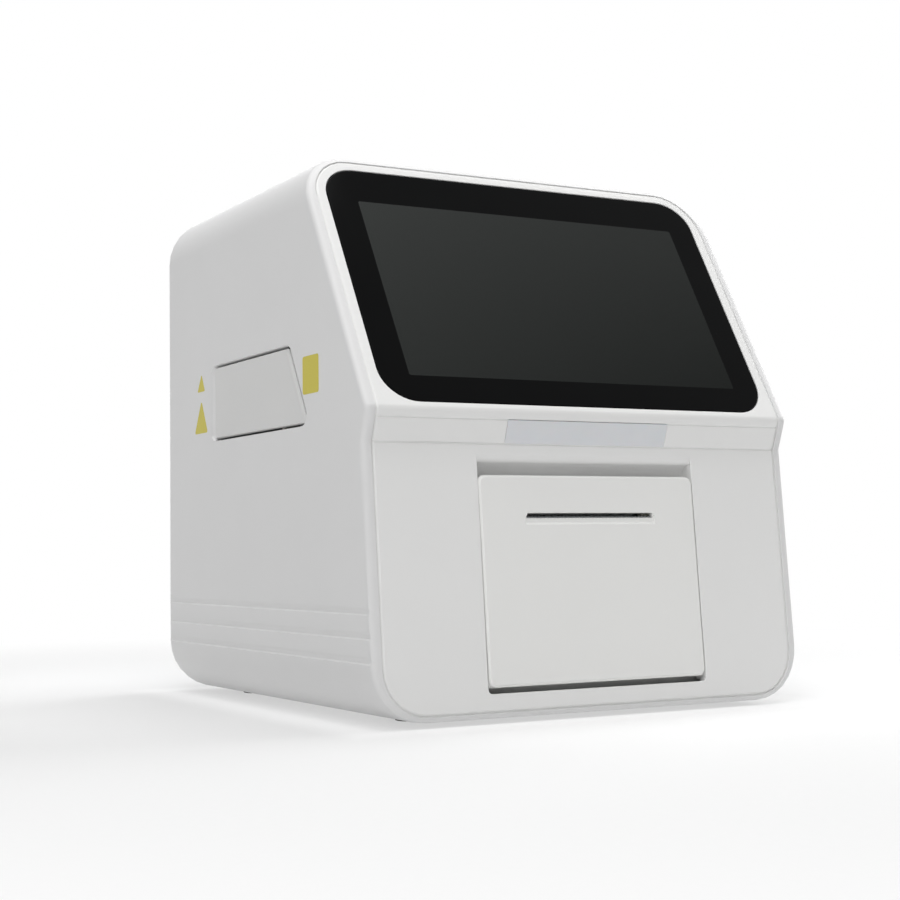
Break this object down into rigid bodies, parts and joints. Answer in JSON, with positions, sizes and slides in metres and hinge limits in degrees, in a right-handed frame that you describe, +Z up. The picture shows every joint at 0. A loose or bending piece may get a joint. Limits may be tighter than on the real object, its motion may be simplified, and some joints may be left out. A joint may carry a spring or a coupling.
{
  "type": "rapid test reader",
  "caption": "Bench-top cassette reader with a sloped touch screen, a receipt printer behind a drop-down front door, and a side drawer with cassette nests.",
  "frame": {"origin": "on the table, under the middle of the unit", "axes": "+X to the unit's right seen from the front, the front faces -Y, +Z up"},
  "size_m": [0.1984, 0.224, 0.226],
  "materials": {
    "shell": "fine moulded texture",
    "bezel": "fine moulded texture",
    "door": "fine moulded texture",
    "drawer_face": "fine moulded texture",
    "screen_glass": "black printed cover glass, polished",
    "diffuser": "frosted diffuser",
    "dark_plastic": "moulded black",
    "grey_plastic": "moulded grey",
    "board": "green solder mask",
    "rubber": "moulded rubber",
    "steel": "ground steel",
    "tinplate": "plated sheet",
    "zinc_sheet": "zinc plated folded sheet",
    "aluminium": "extruded",
    "brass": "machined",
    "nylon": "moulded nylon",
    "paper": "thermal paper",
    "lens": "polished lens"
  },
  "bodies": {
    "housing": {"outer_shell": "shell", "front_bezel": "bezel", "touch_glass": "screen_glass", "display_module": "dark_plastic", "display_bracket": "zinc_sheet", "light_bar": "diffuser", "led_board": "board", "printer_motor": "steel", "print_frame": "zinc_sheet", "print_head": "aluminium", "paper_bay": "grey_plastic", "rail_front": "steel", "rail_rear": "steel", "drawer_motor": "steel", "drawer_bridge": "zinc_sheet", "read_head": "dark_plastic", "read_lens_1": "lens", "read_lens_2": "lens", "read_lens_3": "lens", "base_plate": "zinc_sheet", "main_board": "board", "power_supply": "board", "rear_panel": "zinc_sheet", "panel_screw_1": "steel", "panel_screw_2": "steel", "panel_screw_3": "steel", "panel_screw_4": "steel", "power_inlet": "dark_plastic", "switch_frame": "dark_plastic", "lan_port": "tinplate", "usb_port_1": "tinplate", "usb_port_2": "tinplate", "fan_frame": "dark_plastic", "foot_front_left": "rubber", "foot_front_right": "rubber", "foot_rear_left": "rubber", "foot_rear_right": "rubber"},
    "printer_door": {"printer_door": "door", "hinge_pin_left": "steel", "hinge_pin_right": "steel", "tear_bar": "steel"},
    "platen": {"platen_roller": "rubber", "platen_shaft": "steel", "platen_gear": "nylon"},
    "printer_pinion": {"motor_pinion": "brass"},
    "paper_roll": {"paper_roll": "paper"},
    "drawer": {"drawer_front": "drawer_face", "cassette_tray": "grey_plastic", "drawer_rack": "nylon"},
    "drawer_pinion": {"drawer_pinion": "brass"},
    "rocker": {"power_rocker": "dark_plastic"},
    "fan_rotor": {"fan_rotor": "dark_plastic"}
  },
  "joints": [
    {"name": "door_hinge", "type": "hinge", "parent": "housing", "child": "printer_door", "pos_m": [0, -0.10805, 0.01529], "axis": [1, 0, 0], "range_deg": [0, 75]},
    {"name": "platen_spin", "type": "hinge", "parent": "printer_door", "child": "platen", "pos_m": [0, -0.09414, 0.0722], "axis": [1, 0, 0], "continuous": true},
    {"name": "printer_pinion_spin", "type": "hinge", "parent": "housing", "child": "printer_pinion", "pos_m": [0, -0.08547, 0.06495], "axis": [1, 0, 0], "continuous": true},
    {"name": "roll_spin", "type": "hinge", "parent": "housing", "child": "paper_roll", "pos_m": [0, -0.07232, 0.04002], "axis": [1, 0, 0], "continuous": true},
    {"name": "drawer_slide", "type": "slide", "parent": "housing", "child": "drawer", "axis": [-1, 0, 0], "range_m": [0, 0.08]},
    {"name": "drawer_pinion_turn", "type": "hinge", "parent": "housing", "child": "drawer_pinion", "pos_m": [-0.0791, -0.0127, 0.1177], "axis": [0, 0, -1], "range_deg": [0, 800]},
    {"name": "rocker_tilt", "type": "hinge", "parent": "housing", "child": "rocker", "pos_m": [0.027, 0.1052, 0.036], "axis": [-1, 0, 0], "range_deg": [0, 16]},
    {"name": "fan_spin", "type": "hinge", "parent": "housing", "child": "fan_rotor", "pos_m": [0.04, 0, 0.152], "axis": [0, 1, 0], "continuous": true}
  ],
  "couplings": [
    {"joint": "printer_pinion_spin", "follows": "platen_spin", "ratio": -1.6667},
    {"joint": "drawer_pinion_turn", "follows": "drawer_slide", "rad_per_m": 166.67}
  ]
}
